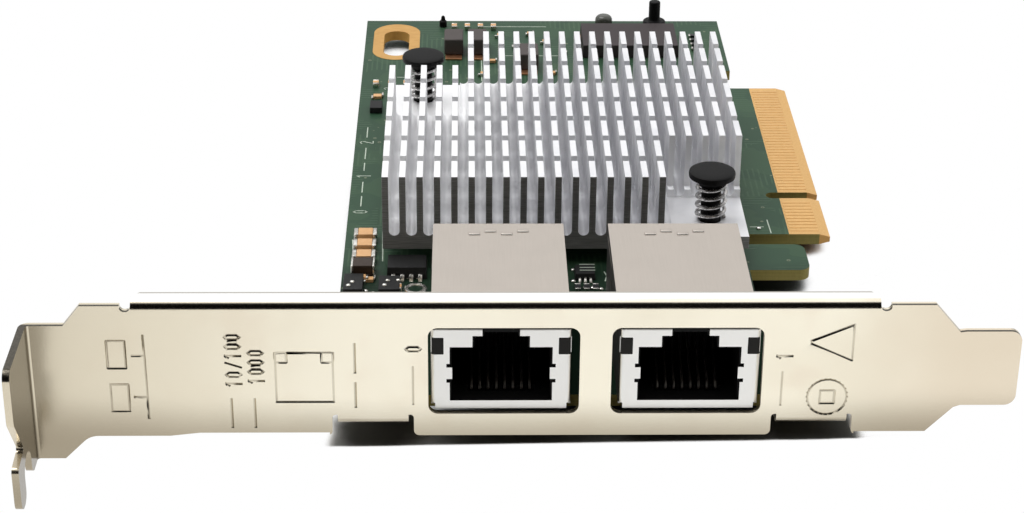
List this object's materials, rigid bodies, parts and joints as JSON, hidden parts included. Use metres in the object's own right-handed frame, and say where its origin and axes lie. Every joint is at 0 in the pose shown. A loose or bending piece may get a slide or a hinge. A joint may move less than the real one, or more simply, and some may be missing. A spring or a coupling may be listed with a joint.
{
  "type": "network interface card",
  "caption": "Flat expansion card: folded metal bracket with shielded modular jacks, green board with an edge connector, and a pin-fin heatsink held by sprung push pins.",
  "frame": {"origin": "on the bracket's outer face, midway between the two ports, level with the board's component side", "axes": "+X from the screw tab along the bracket towards its tongue and the edge connector, +Y from the bracket's outer face into the computer, +Z out of the board's component side"},
  "size_m": [0.12, 0.1403, 0.0221],
  "materials": {
    "laminate": "satin green solder mask over glass-fibre laminate",
    "gold": "gold plate",
    "bracket_steel": "satin nickel plate",
    "screw_steel": "zinc plate",
    "heatsink_aluminium": "as extruded and sawn",
    "package_laminate": "satin",
    "lid_metal": "nickel plate",
    "pad_rubber": "matte",
    "capacitor_ceramic": "matte",
    "tin": "tin plate",
    "tantalum_resin": "matte",
    "resistor_glaze": "matte",
    "package_resin": "matte",
    "ferrite": "matte",
    "copper": "tinned copper",
    "lamp_resin": "clear resin",
    "black_nylon": "matte",
    "spring_steel": "bright",
    "shield_tin": "satin tin plate",
    "jack_plastic": "matte",
    "lamp_window": "smoked"
  },
  "bodies": {
    "root": {"circuit_board": "laminate", "slot_pad_ring": "gold", "edge_fingers_top": "gold", "edge_fingers_bottom": "gold", "bracket": "bracket_steel", "bracket_screws": "screw_steel", "heatsink": "heatsink_aluminium", "controller_substrate": "package_laminate", "controller_lid": "lid_metal", "thermal_pad": "pad_rubber", "output_capacitors": "capacitor_ceramic", "output_capacitors_ends": "tin", "tantalum_capacitor": "tantalum_resin", "tantalum_capacitor_ends": "tin", "small_capacitors": "capacitor_ceramic", "small_capacitors_ends": "tin", "chip_resistors": "resistor_glaze", "chip_resistors_ends": "tin", "flash_memory": "package_resin", "flash_memory_leads": "tin", "power_module": "package_resin", "power_module_leads": "tin", "port_driver": "package_resin", "port_driver_leads": "tin", "power_inductors": "ferrite", "power_inductor_feet": "copper", "crystal_can": "screw_steel", "status_lamp": "lamp_resin", "board_post": "black_nylon", "push_pin_front": "black_nylon", "push_pin_rear": "black_nylon", "pin_spring_front": "spring_steel", "pin_spring_rear": "spring_steel", "jack_shield_0": "shield_tin", "jack_housing_0": "jack_plastic", "jack_contacts_0": "gold", "jack_lamps_0": "lamp_window", "jack_magnetics_0": "jack_plastic", "jack_pins_0": "tin", "jack_shield_1": "shield_tin", "jack_housing_1": "jack_plastic", "jack_contacts_1": "gold", "jack_lamps_1": "lamp_window", "jack_magnetics_1": "jack_plastic", "jack_pins_1": "tin"}
  },
  "joints": []
}
